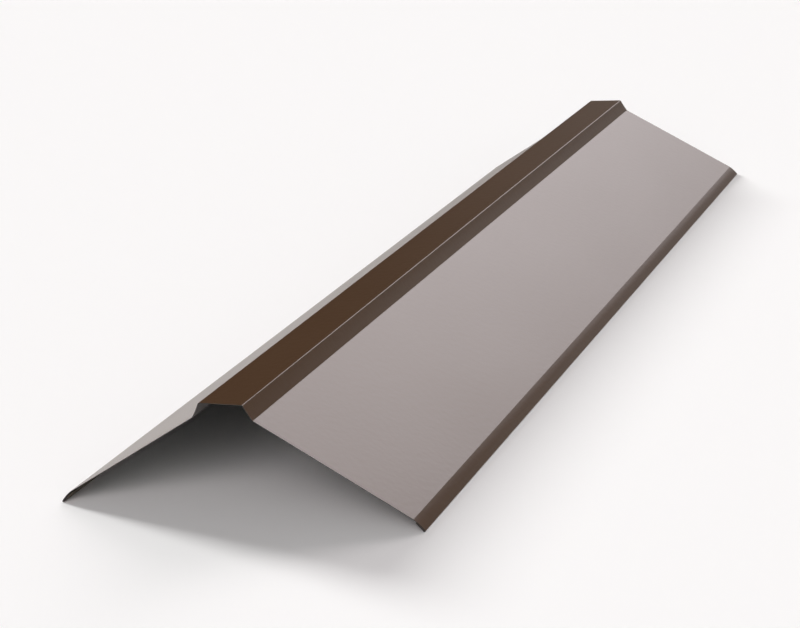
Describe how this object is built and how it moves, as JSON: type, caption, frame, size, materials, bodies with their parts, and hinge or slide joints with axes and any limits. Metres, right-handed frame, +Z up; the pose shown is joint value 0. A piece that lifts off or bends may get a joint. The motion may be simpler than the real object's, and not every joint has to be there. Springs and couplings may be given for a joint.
{
  "type": "roof ridge cap",
  "caption": "Folded sheet metal ridge cap with a flat raised crown, two wide sloping flanges and turned-down lips with hemmed edges.",
  "frame": {"origin": "middle of the length and width, level with the two hems that the cap stands on", "axes": "+X across the ridge, +Y along the ridge, +Z up, out of the crown"},
  "size_m": [0.3324, 1.06, 0.0981],
  "materials": {
    "coated_steel": "gloss polyester coating, dark brown"
  },
  "bodies": {
    "root": {"ridge_cap": "coated_steel"}
  },
  "joints": []
}
